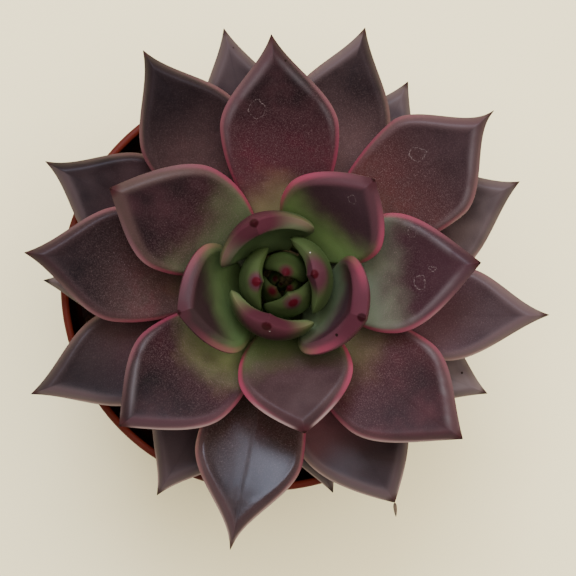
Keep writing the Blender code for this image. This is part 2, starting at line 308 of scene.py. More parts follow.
@dataclass(frozen=True)
class LeafSkin(Finish):
    """Echeveria leaf skin: a living cuticle with a thin waxy bloom.

    To the eye it is a satin, almost leathery surface: green near the stem and in the bud, brown
    to purple where the light falls, with a mauve rim that carries a painted highlight on its bevel,
    a crimson margin with painted rim light where it faces the front, the wax's bluish grey with a
    painted highlight along the crease, and a speckle of fine pale cells. A warm tone with painted
    light lifts the shaded bases, some leaves are darker partly with painted shade where they lie
    under others, and the midrib groove is painted shade. Tones with a place run from the oldest
    leaf at 0 to the youngest at 1, and the margin's from the seat to the tip. Marks hold a centre,
    a radius and a half breadth.
    """

    name: str = "echeveria_leaf_skin"
    roughness: float = 0.4
    specular: float = 0.3
    ior: float = 1.42
    body: Stops = (
        (0.0, "#322830"), (0.2, "#291e22"), (0.26, "#271b1e"), (0.3, "#1d1416"), (0.324, "#2a1a21"),
        (0.353, "#160e10"), (0.382, "#251c1e"), (0.412, "#2d1e23"), (0.441, "#1b1013"), (0.47, "#361a20"),
        (0.5, "#2f1a1f"), (0.53, "#251418"), (0.56, "#2f1a22"), (0.6, "#2c181d"), (0.65, "#2e1d25"),
        (0.68, "#271b1d"), (0.706, "#412c36"), (0.74, "#3a4a2c"), (0.84, "#333d25"), (0.88, "#2a341d"),
        (0.92, "#222a16"), (1.0, "#1e2611"))
    green: Stops = (
        (0.3, "#4c3835"), (0.41, "#524138"), (0.47, "#5a5844"), (0.5, "#696248"), (0.53, "#66704c"),
        (0.56, "#5b6357"), (0.59, "#454c37"), (0.62, "#3b462a"), (0.65, "#51653c"), (0.68, "#3f5032"),
        (0.706, "#55644f"), (0.74, "#536744"), (0.84, "#3f522e"), (1.0, "#27331a"))
    # The rim's tone: partly its own mauve, partly a painted highlight on the bevel.
    rim: Stops = (
        (0.0, "#463a3e"), (0.3, "#54464b"), (0.42, "#4a353a"), (0.56, "#46303a"), (0.588, "#4a3a38"),
        (0.618, "#44292f"), (0.706, "#421d29"), (0.735, "#45303a"), (0.77, "#444030"), (0.84, "#3c4229"),
        (1.0, "#1f2713"))
    margin: Stops = (
        (0.0, "#565b38"), (0.12, "#6f5646"), (0.25, "#802f47"), (0.5, "#722f44"), (0.8, "#523840"))
    halo: Stops = (
        (0.0, "#28171a"), (0.6, "#2f1319"), (0.68, "#351b23"), (0.71, "#3c1925"), (0.765, "#3c1b25"),
        (0.8, "#3f222c"), (0.84, "#3d222b"), (0.9, "#2a150f"), (1.0, "#1a1009"))
    dot: Stops = (
        (0.0, "#140706"), (0.6, "#1c0608"), (0.706, "#1f0208"), (0.765, "#260309"), (0.794, "#2d030b"),
        (0.83, "#3a0310"), (0.9, "#2c040b"), (1.0, "#130304"))
    # The warm tone towards the seat: partly the skin's own reddish brown, partly painted light on bases
    # shaded by the leaves above.
    flush_glow: Stops = (
        (0.235, "#6d4049"), (0.265, "#5c4548"), (0.294, "#643f46"), (0.324, "#623f49"), (0.355, "#4a3537"),
        (0.382, "#3a2c28"), (0.412, "#55302f"), (0.441, "#523b3b"), (0.5, "#4c2530"), (0.7, "#472f35"))
    # The darkest tone: for darker leaves, partly their own and partly painted shade under others, and for
    # the painted shade of the midrib groove.
    deep: str = "#0e070a"
    pale: str = "#5a4e50"
    blush: str = "#401723"
    speckle: str = "#7c686c"
    # The crease's tone: the wax's bluish grey with a painted highlight.
    bloom_sheen: str = "#5a555b"
    # Painted rim light on the thin margin, as if light shone through it.
    lit_edge: str = "#8a7577"
    scale_ring: str = "#584d50"
    spot: str = "#130605"
    droplet: str = "#938f90"
    midrib_lap: float = 0.25
    groove_lap: float = 0.013
    cell_mm: float = 0.3
    mottle_mm: float = 2.6
    patch_mm: float = 6.5
    cloud_mm: float = 13.0
    ring_swirl_mm: float = 2.4
    rings: Marks = (
        (-0.5, 42.5, 115.5, 2.2, 0.09), (36.1, 13.9, 117.2, 1.1, 0.09), (40.4, 4.5, 118.9, 1.0, 0.09),
        (37.5, 2.0, 117.4, 1.5, 0.1), (21.3, 20.7, 123.4, 1.3, 0.07), (37.4, 32.6, 108.9, 2.0, 0.1))
    spots: Marks = (
        (4.9, 52.6, 116.4, 0.0, 0.35), (-8.1, 59.0, 91.5, 0.0, 0.3), (49.0, -21.8, 89.5, 0.0, 0.3),
        (16.9, -11.4, 123.8, 0.0, 0.45))
    droplets: Marks = (
        (6.8, 7.4, 114.0, 0.0, 0.18), (10.7, 7.5, 121.7, 0.0, 0.22), (11.2, 5.4, 123.3, 0.0, 0.2),
        (17.7, 1.7, 112.1, 0.0, 0.25), (1.4, -10.5, 124.7, 0.0, 0.2), (14.7, 17.0, 115.6, 0.0, 0.18),
        (-3.5, -46.3, 106.1, 0.0, 0.2), (32.1, -32.1, 112.1, 0.0, 0.2))

    def paint(self, node: NodeAdder) -> dict[str, Any]:
        """Lay the tones over each other by the attributes that each leaf carries.

        Args:
            node: adds a node to the material, as add_node does.

        Returns:
            The shader's colour, roughness and normal.
        """
        read = {}
        for name in ("zones", "kind", "tip", "sheen", "tone", "edge"):
            vector = node("Attribute", attribute_name=name).node.outputs["Vector"]
            read[name] = node("SeparateXYZ", vector).node.outputs
        green, rim, margin = read["zones"]
        age, gloss, along = read["kind"]
        from_dot, dot_radius, halo_radius = read["tip"]
        bloom_sheen, speckle, flush_glow = read["sheen"]
        dark, pale, blush = read["tone"]
        lit, groove, halo_core = read["edge"]
        place = node("TexCoord").node.outputs["Object"]
        cell = node("TexVoronoi", place, Scale=1 / (self.cell_mm * MM))
        grains = []
        for size in (self.cell_mm, self.mottle_mm, self.patch_mm, self.cloud_mm):
            grains.append(node("TexNoise", place, Scale=1 / (size * MM), Detail=2.0, Roughness=0.6))
        fine, mottle, patch, cloud = grains
        in_mm = node("VectorMath.SCALE", place, 1 / MM)
        sway = (self.ring_swirl_mm,) * 3
        swirl = node("VectorMath.MULTIPLY_ADD", mottle.node.outputs["Color"], sway, in_mm)

        def touched(marks: Marks, places: Any) -> Any:
            """Find where the small marks lie, each a ring or a dot about a place.

            Args:
                marks: the marks.
                places: each point's place in millimetres.

            Returns:
                1 on a mark and 0 off it.
            """
            share = 0.0
            for x, y, z, radius, breadth in marks:
                apart = node("VectorMath.DISTANCE", places, (x, y, z))
                share = node(PLUS, share, node("Math.COMPARE", apart, radius, breadth))
            return share

        # A wavy border for the green, single pale cells with dust between them, and the tip's tone.
        hills = node(PLUS, cloud, patch)
        wavy = node(TIMES, node(MINUS, hills, 1.0), 0.3)
        picked = node(SMOOTH, cell.node.outputs["Color"], 0.5, 1.0)
        speck = node(TIMES, node(SMOOTH, cell, 0.4, 0.12), picked)
        dust = node(TIMES, node(SMOOTH, fine, 0.47, 0.62), 0.2)
        halo = node(SMOOTH, from_dot, halo_radius, halo_core)
        # A dull groove that wanders a little along the midrib and is broken by the mottle; its dark
        # is painted shade, as the skin itself has no groove.
        lap = node("SeparateXYZ", node("UVMap", uv_map="UVMap")).node.outputs["Y"]
        wander = node(TIMES, node(MINUS, patch, 0.5), self.groove_lap)
        off_midrib = node("Math.ABSOLUTE", node(PLUS, node(MINUS, lap, self.midrib_lap), wander))
        groove = node(TIMES, node(SMOOTH, off_midrib, self.groove_lap, 0.0), groove)
        groove = node(TIMES, groove, node(SMOOTH, mottle, 0.1, 0.5))
        dot_edge = node(PLUS, from_dot, node(TIMES, fine, 0.3))
        ringed = node(TIMES, touched(self.rings, swirl), node(SMOOTH, fine, 0.4, 0.65))
        # Each layer covers the ones before it by its share.
        layers = (
            # Darker leaves: partly their own tone, partly painted shade where they lie under others.
            (node(TIMES, dark, node(SMOOTH, hills, 0.2, 1.6)), self.deep),
            (node(TIMES, pale, node(SMOOTH, cloud, 0.8, 0.3)), self.pale),
            # Painted shade along the midrib groove.
            (node(TIMES, groove, 0.3), self.deep),
            # Towards the seat: partly the skin's own warm red, partly painted light on the shaded bases.
            (node(TIMES, flush_glow, node(SMOOTH, patch, -0.4, 0.8)), self.flush_glow),
            (node(TIMES, blush, node(SMOOTH, patch, 0.4, 0.7)), self.blush),
            (node(SMOOTH, node(PLUS, green, wavy), 0.1, 0.95), self.green),
            (node(TIMES, speckle, node(PLUS, speck, dust)), self.speckle),
            # The bevelled rim: partly its own mauve, partly a painted highlight where it catches the light.
            (rim, self.rim),
            # Along the crease: partly the wax's bluish grey, partly a painted highlight.
            (node(TIMES, bloom_sheen, node(SMOOTH, patch, 0.25, 0.6)), self.bloom_sheen),
            (margin, node("ValToRGB", along, stops=self.margin)),
            # Painted rim light along the margin where it faces the front.
            (lit, self.lit_edge),
            (halo, self.halo),
            (node(SMOOTH, dot_edge, node(PLUS, dot_radius, 0.5), dot_radius), self.dot),
            (ringed, self.scale_ring),
            (touched(self.spots, in_mm), self.spot),
            (touched(self.droplets, in_mm), self.droplet),
        )
        colour = node("ValToRGB", age, stops=self.body)
        for share, tone in layers:
            tint = node("ValToRGB", age, stops=tone) if isinstance(tone, tuple) else tone
            colour = node(MIX, share, colour, tint)
        dull = node(PLUS, node(TIMES, halo, 0.2), node(TIMES, groove, 0.3))
        rough = node(PLUS, node(PLUS, node(TIMES, fine, 0.1), dull), node(PLUS, gloss, self.roughness))
        relief = node(PLUS, node(TIMES, fine, 0.5), mottle)
        bump = node("Bump", Height=relief, Strength=0.12, Distance=0.2 * MM)
        return {"Base Color": colour, "Roughness": rough, "Normal": bump}


@dataclass(frozen=True)
class WitheredTip(Finish):
    """The dried point of an old leaf.

    To the eye it is a dull, papery grey-brown pod with darker patches.
    """

    name: str = "withered_leaf_tip"
    roughness: float = 0.8
    dry: str = "#57493f"
    dark: str = "#1b1311"
    patch_mm: float = 1.2

    def paint(self, node: NodeAdder) -> dict[str, Any]:
        """Patch the dry skin with darker places.

        Args:
            node: adds a node to the material, as add_node does.

        Returns:
            The shader's colour.
        """
        place = node("TexCoord").node.outputs["Object"]
        patch = node("TexNoise", place, Scale=1 / (self.patch_mm * MM), Detail=2.0)
        return {"Base Color": node(MIX, node("MapRange", patch, 0.4, 0.6), self.dry, self.dark)}


@dataclass(frozen=True)
class MouldedPolypropylene(Finish):
    """Injection-moulded polypropylene in a terracotta colour.

    To the eye it is a satin, slightly waxy brick red, with painted shade darkening its inside wall.
    """

    name: str = "moulded_polypropylene"
    specular: float = 0.3
    ior: float = 1.49
    body: str = "#5c1f14"
    deep: str = "#42160f"
    # Painted shade for the inside wall.
    inside_shade: str = "#160706"
    grain_mm: float = 0.5
    cloud_mm: float = 14.0
    rough_range: tuple[float, float] = (0.42, 0.58)

    def paint(self, node: NodeAdder) -> dict[str, Any]:
        """Cloud the red, and darken it with painted shade on the inside wall.

        Args:
            node: adds a node to the material, as add_node does.

        Returns:
            The shader's colour, roughness and normal.
        """
        place = node("TexCoord").node.outputs["Object"]
        cloud = node("TexNoise", place, Scale=1 / (self.cloud_mm * MM), Detail=3.0)
        grain = node("TexNoise", place, Scale=1 / (self.grain_mm * MM), Detail=2.0)
        clean = node(MIX, cloud, self.body, self.deep)
        inside = node("Attribute", attribute_name="inside").node.outputs["Fac"]
        return {
            # Painted shade over the inside wall.
            "Base Color": node(MIX, node("MapRange", inside, 0.1, 0.6), clean, self.inside_shade),
            "Roughness": node("MapRange", grain, 0.0, 1.0, *self.rough_range),
            "Normal": node("Bump", Height=grain, Strength=0.12, Distance=0.1 * MM),
        }


@dataclass(frozen=True)
class DampPottingMix(Finish):
    """Damp peat and bark crumbs.

    To the eye it is nearly black, crumbly and dull, with a few browner bark bits; its black is
    darker than damp peat alone, with painted shade.
    """

    name: str = "damp_potting_mix"
    roughness: float = 0.92
    specular: float = 0.25
    # Darker than damp peat alone: its own tone with painted shade.
    shaded_peat: str = "#160c0a"
    bark: str = "#33211a"
    crumb_mm: float = 1.6

    def paint(self, node: NodeAdder) -> dict[str, Any]:
        """Strew the peat with bark, and raise its crumbs.

        Args:
            node: adds a node to the material, as add_node does.

        Returns:
            The shader's colour and normal.
        """
        place = node("TexCoord").node.outputs["Object"]
        crumbs = node("TexNoise", place, Scale=1 / (self.crumb_mm * MM), Detail=5.0, Roughness=0.7)
        return {
            # The dark tone carries painted shade, strewn with bark.
            "Base Color": node(MIX, node("MapRange", crumbs, 0.45, 0.75), self.shaded_peat, self.bark),
            "Normal": node("Bump", Height=crumbs, Strength=0.8, Distance=0.8 * MM),
        }


@dataclass(frozen=True)
class StemSkin(Finish):
    """The corky skin of an old succulent stem.

    To the eye it is a dull grey-green brown with darker leaf scars across it.
    """

    name: str = "succulent_stem_skin"
    roughness: float = 0.75
    skin: str = "#6a6046"
    scar: str = "#43382a"
    scar_mm: float = 2.5
    scar_stretch: tuple[float, float, float] = (1.0, 1.0, 2.2)

    def paint(self, node: NodeAdder) -> dict[str, Any]:
        """Draw flat scars as dark, sunken lines.

        Args:
            node: adds a node to the material, as add_node does.

        Returns:
            The shader's colour and normal.
        """
        place = node("TexCoord").node.outputs["Object"]
        flat = node("Mapping", place, Scale=self.scar_stretch)
        scars = node("TexVoronoi.DISTANCE_TO_EDGE", flat, Scale=1 / (self.scar_mm * MM))
        return {
            "Base Color": node(MIX, node("MapRange", scars, 0.25, 0.02), self.skin, self.scar),
            "Normal": node("Bump", Height=scars, Strength=0.5, Distance=0.4 * MM),
        }


@dataclass(frozen=True)
class PaleFloor(Finish):
    """A plain pale matt floor, faintly warm."""

    name: str = "pale_matt_floor"
    roughness: float = 0.8
    specular: float = 0.2
    tone: str = "#faf1c9"

    def paint(self, node: NodeAdder) -> dict[str, Any]:
        """Give the floor its one tone."""
        return {"Base Color": self.tone}


@dataclass(frozen=True)
class LeafShape:
    """What all leaves share, and how they change along the spiral and along their length.

    The leaf tables hold (leaf, value) pairs, where leaf 0 is the lowest, and the length tables
    hold (share of the length, value) pairs.
    """

    spiral_step: float = 137.4
    first_azimuth: float = 272.9
    lowest_seat: float = 78.0
    gap: float = 0.3
    thicknesses: Pairs = (
        (0, 4.6), (12, 5.0), (20, 4.8), (24, 4.6), (26, 3.9), (28, 3.15), (30, 2.7), (32, 2.1), (34, 1.1))
    base_rises: Pairs = (
        (0, 9), (6, 13), (10, 18), (13, 26), (15, 33), (17, 41), (18, 47), (20, 56), (22, 62), (24, 60),
        (26, 57), (28, 56), (30, 60), (34, 70))
    tip_rises: Pairs = (
        (0, 7), (10, 9), (17, 12), (20, 19), (21, 32), (22, 40), (23, 56), (24, 76), (25, 95), (26, 113),
        (28, 127), (30, 138), (31, 130), (32, 126), (34, 122))
    seat_radii: Pairs = (
        (0, 8.5), (22, 8.5), (24, 8.0), (26, 7.0), (28, 5.2), (30, 3.8), (32, 2.4), (34, 0.7))
    seat_heights: Pairs = ((0, 0.0), (22, 18.2), (28, 22.8), (32, 25.6), (34, 27.0))
    cups: Pairs = ((0, 0.45), (14, 0.5), (20, 0.65), (24, 0.95), (26, 1.0), (34, 1.0))
    seat_widths: Pairs = ((0, 0.30), (20, 0.29), (26, 0.33), (30, 0.46), (34, 0.6))
    bud_shares: Pairs = ((0, 0.0), (20, 0.0), (25, 1.0), (34, 1.0))
    open_flesh: Pairs = ((0, 0.55), (0.15, 0.7), (0.45, 1.0), (0.8, 0.9), (0.97, 0.7), (1.0, 0.6))
    bud_flesh: Pairs = ((0, 0.5), (0.25, 0.6), (0.6, 0.97), (0.85, 1.4), (1.0, 1.45))
    top_shares: Pairs = ((0, 0.30), (0.4, 0.36), (0.75, 0.6), (1.0, 0.66))
    bevel_widths: Pairs = ((0, 0.8), (0.3, 1.0), (0.6, 1.5), (0.8, 2.0), (1.0, 2.2))
    flare: float = 1.35
    bevel_limit: float = 0.36
    bevel_curve: float = 1.7
    belly: float = 2.2
    belly_reach: float = 0.95
    tip_reach: float = 0.3


@dataclass(frozen=True)
class LeafLook:
    """How the colour zones change along the spiral, as (leaf, value) pairs.

    Left and right of the midrib are as seen from the leaf's seat.

    Attributes:
        green_ends: the share of the length that the green zone reaches.
        green_bows: how much sooner it ends towards the margins than on the midrib.
        left_rims, right_rims: how strongly the bevelled rim is toned, side by side: partly its own
        mauve, partly a painted highlight where the bevel faces the light.
        margin_shares, margin_starts: how strongly the margin is toned, and how far up from the seat.
        left_bloom_sheens, right_bloom_sheens: how strong the tone along the crease is, side by side: partly
            the
        wax's bluish grey, partly a painted highlight on the sides that face the light.
        speckle_shares: how strong the pale speckle is.
        flush_glow_shares: how strongly the skin warms and brightens towards the seat: partly its own
        reddish tone, partly painted light on bases that lie in the shade of the leaves above.
        blush_shares: how strong the crimson clouds are.
        dark_shares, pale_shares: how much darker or paler a leaf is; the darkness is partly the leaf's
        own tone, partly painted shade on leaves that lie under others.
        halo_radii, halo_core: how far the tone round the tip reaches, and its full share of that.
        dot_radii, dot_places: the radius of the dark dot at the tip, and where along the leaf it lies.
        lit_shares: how strongly painted rim light pales the margin where it faces the front.
        groove_shares: how well the dull groove along the midrib shows, as painted shade and roughness.
        first_folded: the first leaf whose dot lies on its back, which faces up.
        blotched: the leaf whose rim tone spreads inwards as a blotch.
        mucro: half the width of the dried point at the tip, and its share of the length.
        crease_dip: how far the upper face sinks inside its rim.
        crown: the share of the solid's rise that the upper face keeps.
        glossy: what is taken from some leaves' roughness.
    """

    green_ends: Pairs = (
        (0, 0.0), (10, 0.1), (12, 0.2), (14, 0.32), (15, 0.28), (16, 0.37), (17, 0.28), (18, 0.44),
        (19, 0.44), (20, 0.4), (21, 0.43), (22, 0.47), (23, 0.58), (24, 0.5), (25, 0.75), (26, 0.8),
        (28, 1.3), (34, 1.3))
    green_bows: Pairs = ((18, 0.1), (19, -0.12))
    left_rims: Pairs = (
        (0, 0.6), (3, 0.2), (4, 0.7), (8, 0.5), (9, 0.8), (10, 0.7), (11, 0.7), (12, 0.1), (13, 0.3),
        (14, 0.7), (15, 0.3), (16, 0.5), (18, 0.7), (19, 0.0), (20, 0.5), (21, 0.0), (22, 0.6), (23, 0.0),
        (24, 0.95), (26, 0.35), (28, 0.4), (34, 0.2))
    right_rims: Pairs = (
        (0, 0.6), (3, 0.2), (4, 0.5), (6, 0.3), (7, 0.0), (8, 0.8), (9, 0.1), (10, 0.2), (11, 0.9),
        (12, 0.1), (13, 0.5), (14, 0.4), (15, 0.25), (16, 0.4), (17, 0.0), (18, 0.1), (19, 0.4), (20, 0.6),
        (21, 0.2), (22, 0.4), (23, 0.3), (24, 0.7), (26, 0.3), (28, 0.4), (34, 0.2))
    margin_shares: Pairs = (
        (0, 0.25), (11, 0.45), (13, 0.8), (21, 0.9), (22, 0.8), (23, 0.35), (24, 0.5), (25, 0.2), (27, 0.0))
    margin_starts: Pairs = (
        (18, 0.0), (19, 0.12), (20, 0.0), (21, 0.22), (22, 0.25), (23, 0.42), (24, 0.5), (34, 0.6))
    left_bloom_sheens: Pairs = (
        (0, 0.1), (8, 0.0), (13, 0.0), (14, 0.1), (15, 0.0), (16, 0.5), (17, 0.25), (18, 0.0), (19, 0.3),
        (20, 0.0))
    right_bloom_sheens: Pairs = (
        (0, 0.1), (8, 0.0), (13, 0.0), (14, 0.3), (15, 0.0), (16, 0.0), (17, 0.25), (18, 0.35), (19, 0.35),
        (20, 0.1), (21, 0.0))
    speckle_shares: Pairs = (
        (0, 0.15), (8, 0.2), (9, 0.5), (10, 0.3), (11, 0.5), (12, 0.3), (14, 0.55), (20, 0.5), (23, 0.2),
        (25, 0.08), (34, 0.0))
    flush_glow_shares: Pairs = (
        (0, 0.2), (7, 0.3), (8, 1.0), (9, 0.85), (10, 0.45), (11, 0.75), (12, 0.8), (13, 0.5), (14, 0.6),
        (15, 0.6), (16, 0.3), (17, 0.6), (18, 0.3), (19, 0.0), (20, 0.3), (22, 0.2), (24, 0.0))
    blush_shares: Pairs = (
        (0, 0.0), (12, 0.15), (14, 0.3), (15, 0.4), (16, 0.45), (17, 0.6), (18, 0.6), (19, 0.3), (20, 0.15),
        (22, 0.3), (24, 0.0))
    dark_shares: Pairs = (
        (0, 0.3), (3, 0.0), (4, 0.4), (5, 0.0), (6, 0.6), (7, 0.9), (8, 0.6), (9, 0.9), (10, 0.85),
        (11, 0.5), (12, 1.0), (13, 0.8), (14, 0.6), (15, 1.0), (16, 0.85), (17, 1.0), (18, 1.0), (19, 0.3),
        (20, 1.0), (21, 0.5), (22, 0.1), (34, 0.0))
    pale_shares: Pairs = (
        (0, 0.6), (1, 1.0), (3, 1.0), (4, 0.1), (5, 0.0), (6, 0.5), (7, 0.0), (10, 0.0), (11, 0.1),
        (12, 0.0), (20, 0.0), (21, 0.2), (22, 0.0))
    halo_radii: Pairs = (
        (0, 2.6), (21, 3.2), (23, 4.5), (24, 12.0), (25, 12.5), (26, 14.0), (27, 8.0), (28, 3.6), (30, 2.8),
        (34, 1.0))
    halo_core: float = 0.35
    dot_radii: Pairs = (
        (1, 0.5), (2, 1.3), (3, 0.5), (21, 0.6), (23, 0.7), (24, 1.0), (25, 1.15), (29, 1.1), (30, 0.9),
        (34, 0.4))
    dot_places: Pairs = (
        (23, 1.0), (24, 0.99), (25, 1.0), (26, 0.966), (27, 0.994), (28, 0.966), (29, 0.88), (30, 0.954),
        (31, 0.926), (32, 0.976), (33, 0.918), (34, 0.99))
    lit_shares: Pairs = (
        (14, 0.75), (15, 0.2), (16, 0.75), (18, 0.75), (19, 0.25), (20, 0.25), (21, 0.75), (22, 0.0))
    groove_shares: Pairs = ((12, 0.3), (13, 0.5), (14, 0.2), (18, 0.2), (20, 0.0))
    first_folded: int = 25
    blotched: int = 24
    mucro: tuple[float, float] = (0.42, 0.06)
    crease_dip: float = 0.1
    crown: float = 0.82
    glossy: tuple[tuple[int, float], ...] = ((13, 0.2), (16, -0.08), (8, 0.05))


@dataclass
class Leaf:
    """One leaf of the rosette: its place on the spiral, its size and its shape.

    Attributes:
        number: its place on the spiral, where 0 is the lowest.
        tip_azimuth: the azimuth of its tip about the plant's axis.
        length: its length along the midrib.
        width: its greatest width.
        widest_at: the share of the length where that is.
        fullness: how round its tip is, from 0 for flared to 1.
        shape: what all leaves share.
        look: how the colour zones change along the spiral.
    """

    number: int
    tip_azimuth: float
    length: float
    width: float
    widest_at: float
    fullness: float
    shape: LeafShape
    look: LeafLook

    def __post_init__(self) -> None:
        """Read this leaf's values off the tables."""
        shape = self.shape
        self.azimuth = math.radians(shape.first_azimuth + shape.spiral_step * self.number)
        self.swing = (math.radians(self.tip_azimuth) - self.azimuth + math.pi) % math.tau - math.pi
        self.thickness = self.own(shape.thicknesses)
        self.base_rise = math.radians(self.own(shape.base_rises))
        self.bend = math.radians(self.own(shape.tip_rises)) - self.base_rise
        self.seat_radius = self.own(shape.seat_radii) + shape.gap
        self.seat_height = shape.lowest_seat + self.own(shape.seat_heights)
        self.cup = self.own(shape.cups)
        self.seat_width = self.own(shape.seat_widths)
        self.in_bud = self.own(shape.bud_shares)

    def own(self, pairs: Pairs) -> float:
        """This leaf's value in a table of (leaf, value) pairs."""
        return read_off(pairs, self.number)

    def half_width(self, along: Array) -> Array:
        """Half the leaf's width at shares of its length.

        Args:
            along: shares of the length.

        Returns:
            Half the width at each.
        """
        widest = self.widest_at
        rise = np.sin(np.pi / 2 * np.clip(along / widest, 0, 1)) ** self.shape.flare
        before = self.seat_width + (1 - self.seat_width) * rise
        past = np.clip((along - widest) / (1 - widest), 0, 1)
        after = self.fullness * (1 - past ** 2) + (1 - self.fullness) * (1 + np.cos(np.pi * past)) / 2
        half = self.width / 2 * np.where(along < widest, before, after)
        point, reach = self.look.mucro
        return np.hypot(half, point * (1 - self.in_bud) * np.sqrt(np.clip((1 - along) / reach, 0, 1)))

    def midrib(self, along: Array) -> tuple[Array, Array, Array]:
        """Follow the arched midrib.

        Args:
            along: shares of the length.

        Returns:
            The distance from the plant's axis, the height and the rise at each.
        """
        rise = self.base_rise + self.bend * along
        scale = self.length / self.bend
        distance = self.seat_radius + scale * (np.sin(rise) - math.sin(self.base_rise))
        height = self.seat_height + scale * (math.cos(self.base_rise) - np.cos(rise))
        return distance, height, rise

    def flesh(self, along: Array) -> Array:
        """Greatest thickness across the leaf at shares of its length."""
        opened, folded = read_off(self.shape.open_flesh, along), read_off(self.shape.bud_flesh, along)
        return self.thickness * ((1 - self.in_bud) * opened + self.in_bud * folded)

    def bevel_width(self, along: Array) -> Array:
        """The width of the bevelled rim on the upper face."""
        return np.minimum(read_off(self.shape.bevel_widths, along), self.shape.bevel_limit * self.width)

    def from_edge(self, along: Array, across: Array) -> Array:
        """How far points of the leaf lie from its margin.

        Args:
            along: shares of the length.
            across: shares of the half width.

        Returns:
            The distance from the margin at each.
        """
        step = 0.001
        before, after = np.maximum(along - step, 0.0), np.minimum(along + step, 1.0)
        slope = (self.half_width(after) - self.half_width(before)) / ((after - before) * self.length)
        return self.half_width(along) * (1 - np.abs(across)) / np.hypot(1.0, slope)

    def thickening(self, along: Array, from_edge: Array, upper: Array) -> Array:
        """How far the skin stands from the leaf's middle sheet.

        Args:
            along: shares of the length.
            from_edge: distances from the margin.
            upper: which points lie on the upper face.

        Returns:
            The height above the middle sheet, below 0 on the lower face.
        """
        shape = self.shape
        flesh, top_share = self.flesh(along), read_off(shape.top_shares, along)
        rim_place = from_edge / self.bevel_width(along)
        lift = 1 - (1 - np.minimum(1.0, rim_place)) ** shape.bevel_curve
        reach = np.maximum(self.half_width(along), np.where(along > 0.5, shape.tip_reach * self.width, 0.0))
        drop = 1 - (1 - np.minimum(1.0, from_edge / (shape.belly_reach * reach))) ** shape.belly
        dip = self.look.crease_dip * ease(0.9, 2.2, rim_place) * ease(0.3, 0.6, along)
        above = self.look.crown * flesh * top_share * lift - dip
        return np.where(upper, above, -flesh * (1 - top_share) * np.sqrt(np.maximum(0.0, drop)))

    def points(self, along: Array, across: Array, upper: Array) -> Array:
        """Points on the skin.

        Args:
            along: shares of the length, from the seat to the tip.
            across: shares of the half width, from -1 to 1.
            upper: which points lie on the upper face.

        Returns:
            One row of x, y and z for each point.
        """
        raised = self.thickening(along, self.from_edge(along, across), upper)
        distance, height, rise = self.midrib(along)
        curl = self.cup / distance
        turn = curl * across * self.half_width(along)
        sideways = np.sin(turn) / curl - raised * np.sin(turn)
        inwards = (1 - np.cos(turn)) / curl + raised * np.cos(turn)
        outwards = distance - np.sin(rise) * inwards
        azimuth = self.azimuth + self.swing * along
        x = outwards * np.cos(azimuth) - sideways * np.sin(azimuth)
        y = outwards * np.sin(azimuth) + sideways * np.cos(azimuth)
        share = np.where(along < 1e-6, self.seat_radius / np.hypot(x, y), 1.0)
        x, y = STEM_PLACE[0] + x * share, STEM_PLACE[1] + y * share
        return np.stack([x, y, height + np.cos(rise) * inwards], axis=1)

    def midrib_point(self, along: float, upper: bool) -> Array:
        """The point on the middle of the upper or the lower face at a share of the length."""
        return self.points(np.full(1, along), np.zeros(1), np.full(1, upper))[0]

    def from_dot(self, points: Array, rim_place: Array, upper: Array) -> Array:
        """How far points lie from the dot at the tip.

        Args:
            points: the points.
            rim_place: how far in from the margin each lies, where the rim is 1.
            upper: which of them lie on the upper face.

        Returns:
            The distance of each, with more for those inside a bud leaf's rim.
        """
        dot = self.midrib_point(self.own(self.look.dot_places), self.number < self.look.first_folded)
        inside = np.where(upper, 6.0 * ease(0.4, 1.2, rim_place), 0.0)
        return np.linalg.norm(points - dot, axis=1) + self.in_bud * inside

    def lit(self, points: Array, along: Array, edge: Array) -> Array:
        """How much painted rim light pales the margin, where it faces the front.

        Args:
            points: the points.
            along: shares of the length.
            edge: distances from the margin.

        Returns:
            The share of the painted rim light at each.
        """
        off_middle = (points - self.midrib_point(0.6, True))[:, :2]
        frontward = -off_middle[:, 1] / np.maximum(np.linalg.norm(off_middle, axis=1), 1e-6)
        share = ease(0.5, 0.1, edge) * ease(0.35, 0.85, frontward)
        return share * ease(0.5, 0.75, along) * ease(0.99, 0.93, along) * self.own(self.look.lit_shares)

    def attributes(
            self, along: Array, across: Array, upper: Array, points: Array,
    ) -> dict[str, Array]:
        """The colour zones and other values that the skin's material reads.

        Args:
            along: shares of the length, from the seat to the tip.
            across: shares of the half width, from -1 to 1.
            upper: which points lie on the upper face.
            points: where the points are.

        Returns:
            A vector for each point under each attribute's name.
        """
        look, own, left = self.look, self.own, across > 0
        edge = self.from_edge(along, across)
        rim_place = edge / self.bevel_width(along)
        end = own(look.green_ends)
        green = ease(end + 0.3, end - 0.25, along + own(look.green_bows) * across ** 2)
        green = np.where(upper, green, ease(0.85, 0.4, along) * (0.45 + 0.55 * self.in_bud))
        # The bevelled rim's tone: partly its own mauve, partly a painted highlight on the bevel.
        rim = ease(1.8, 0.4, rim_place) * ease(0.3, 0.6, along)
        if self.number == look.blotched:
            rim = np.maximum(rim, 0.7 * ease(7.5, 5.0, edge) * ease(0.35, 0.6, along))
        rim = np.where(upper, rim, ease(0.6, 0.9, along) * (1 - self.in_bud))
        rim = rim * np.where(left, own(look.left_rims), own(look.right_rims))
        margin = ease(0.9, 0.25, edge) * ease(1.0, 0.72, along) * np.where(upper, 1.0, 0.7)
        # Along the crease: partly the wax's bluish grey, partly a painted highlight on the sides set to face
        # the light.
        bloom_sheen = np.exp(-((rim_place - 0.95) / 0.35) ** 2) * ease(0.45, 0.65, along) * ease(0.97, 0.85, along)
        bloom_sheen = bloom_sheen * upper * np.where(left, own(look.left_bloom_sheens), own(look.right_bloom_sheens))
        speckle = np.where(upper, 0.2 + 0.8 * ease(0.92, 0.42, along), 0.3)
